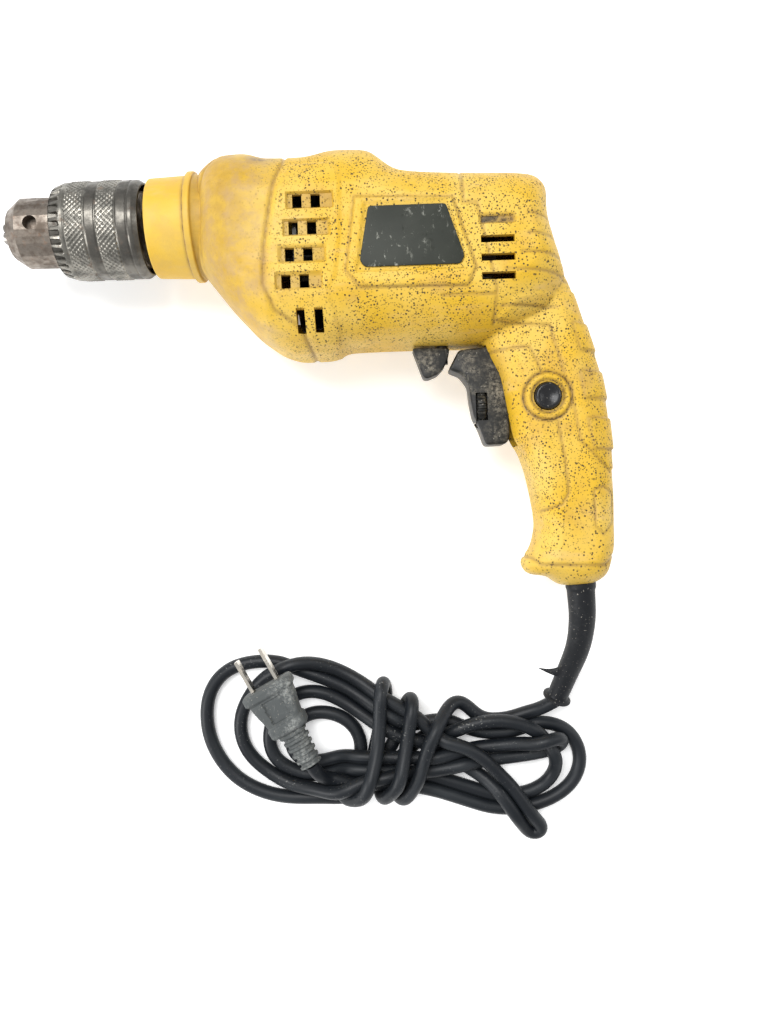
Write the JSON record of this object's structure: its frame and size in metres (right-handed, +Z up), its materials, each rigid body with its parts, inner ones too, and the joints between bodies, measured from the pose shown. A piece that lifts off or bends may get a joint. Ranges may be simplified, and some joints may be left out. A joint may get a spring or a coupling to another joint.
{
  "type": "corded hammer drill",
  "caption": "Corded hammer drill lying on its side, with a keyed chuck, a pistol handle, a trigger and a bundled lead with a flat-blade plug.",
  "frame": {"origin": "on the flat face that the drill lies on, directly under the spindle's axis", "axes": "+X from the chuck to the rear of the motor housing, +Y to the top edge of the housing, +Z up from the table"},
  "size_m": [0.2724, 0.3238, 0.071],
  "materials": {
    "housing_yellow": "matte yellow nylon, scuffed and speckled with black grime",
    "label_black": "black printed plate, scratched",
    "control_black": "satin black",
    "insulator": "plain moulded insulator",
    "lead_rubber": "dusty black rubber",
    "worn_steel": "worn bare steel",
    "dark_steel": "blackened steel, worn bright on its knurls",
    "copper": null,
    "brass": "plain",
    "carbon": null
  },
  "bodies": {
    "housing": {"left_housing": "housing_yellow", "right_housing": "housing_yellow", "gear_case_collar": "housing_yellow", "label_plate": "label_black", "cable_clamp": "insulator", "clamp_screw_1": "dark_steel", "clamp_screw_2": "dark_steel", "fixed_ratchet": "dark_steel", "spindle_front_bearing": "worn_steel", "spindle_rear_bush": "brass", "spindle_spring": "worn_steel", "armature_front_bearing": "worn_steel", "armature_rear_bearing": "worn_steel", "stator_core": "dark_steel", "field_coil_1": "copper", "field_coil_2": "copper", "brush_holder_1": "brass", "brush_holder_2": "brass", "carbon_brush_1": "carbon", "carbon_brush_2": "carbon", "brush_spring_1": "worn_steel", "brush_spring_2": "worn_steel", "switch_body": "insulator", "interference_capacitor": "insulator", "cord_boot": "lead_rubber", "cord_lead": "lead_rubber", "cord_hank": "lead_rubber", "cord_tail": "lead_rubber", "plug_body": "lead_rubber", "plug_blade_1": "worn_steel", "plug_blade_2": "worn_steel", "housing_screw_1": "dark_steel", "housing_screw_2": "dark_steel", "housing_screw_3": "dark_steel", "housing_screw_4": "dark_steel", "housing_screw_5": "dark_steel", "housing_screw_6": "dark_steel", "housing_screw_7": "dark_steel"},
    "spindle_carriage": {"thrust_washer": "worn_steel"},
    "spindle": {"spindle": "worn_steel", "spindle_gear": "worn_steel", "rotating_ratchet": "dark_steel", "chuck_body": "worn_steel", "chuck_screw": "dark_steel"},
    "sleeve": {"chuck_sleeve": "dark_steel", "chuck_nut": "worn_steel"},
    "jaw_1": {"chuck_jaw_1": "dark_steel"},
    "jaw_2": {"chuck_jaw_2": "dark_steel"},
    "jaw_3": {"chuck_jaw_3": "dark_steel"},
    "armature": {"armature_shaft": "worn_steel", "armature_core": "dark_steel", "commutator": "copper", "cooling_fan": "control_black"},
    "trigger": {"trigger": "control_black"},
    "speed_dial": {"speed_dial": "control_black"},
    "reverse_lever": {"reverse_lever": "control_black"},
    "lock_button": {"lock_button": "control_black"},
    "mode_selector": {"mode_selector": "control_black"}
  },
  "joints": [
    {"name": "spindle_slide", "type": "slide", "parent": "housing", "child": "spindle_carriage", "axis": [1, 0, 0], "range_m": [0, 0.0012], "stiffness_N_per_m": 4000, "springref_m": -0.002},
    {"name": "spindle_spin", "type": "hinge", "parent": "spindle_carriage", "child": "spindle", "pos_m": [-0.1, 0, 0.035], "axis": [1, 0, 0], "continuous": true},
    {"name": "armature_spin", "type": "hinge", "parent": "housing", "child": "armature", "pos_m": [-0.02, -0.0175, 0.035], "axis": [1, 0, 0], "continuous": true},
    {"name": "sleeve_turn", "type": "hinge", "parent": "spindle", "child": "sleeve", "pos_m": [-0.145, 0, 0.035], "axis": [1, 0, 0], "range_deg": [0, 5040]},
    {"name": "jaw_1_slide", "type": "slide", "parent": "spindle", "child": "jaw_1", "axis": [0.9659, 0.2241, 0.1294], "range_m": [0, 0.025]},
    {"name": "jaw_2_slide", "type": "slide", "parent": "spindle", "child": "jaw_2", "axis": [0.9659, 0, -0.2588], "range_m": [0, 0.025]},
    {"name": "jaw_3_slide", "type": "slide", "parent": "spindle", "child": "jaw_3", "axis": [0.9659, -0.2241, 0.1294], "range_m": [0, 0.025]},
    {"name": "trigger_pull", "type": "slide", "parent": "housing", "child": "trigger", "axis": [1, 0, 0], "range_m": [0, 0.0065], "stiffness_N_per_m": 900, "springref_m": -0.004},
    {"name": "speed_dial_turn", "type": "hinge", "parent": "trigger", "child": "speed_dial", "pos_m": [0.0274, -0.0865, 0.035], "axis": [1, 0, 0], "range_deg": [0, 270]},
    {"name": "reverse_lever_turn", "type": "hinge", "parent": "housing", "child": "reverse_lever", "pos_m": [0.011, -0.064, 0.035], "axis": [0, 1, 0], "range_deg": [-12, 12]},
    {"name": "lock_button_press", "type": "slide", "parent": "housing", "child": "lock_button", "axis": [0, 0, -1], "range_m": [0, 0.003], "stiffness_N_per_m": 500, "springref_m": -0.003},
    {"name": "mode_selector_slide", "type": "slide", "parent": "housing", "child": "mode_selector", "axis": [0, 0, 1], "range_m": [0, 0.007]}
  ],
  "couplings": [
    {"joint": "armature_spin", "follows": "spindle_spin", "ratio": -6.1429},
    {"joint": "jaw_1_slide", "follows": "sleeve_turn", "m_per_rad": 0.00028418},
    {"joint": "jaw_2_slide", "follows": "sleeve_turn", "m_per_rad": 0.00028418},
    {"joint": "jaw_3_slide", "follows": "sleeve_turn", "m_per_rad": 0.00028418}
  ]
}
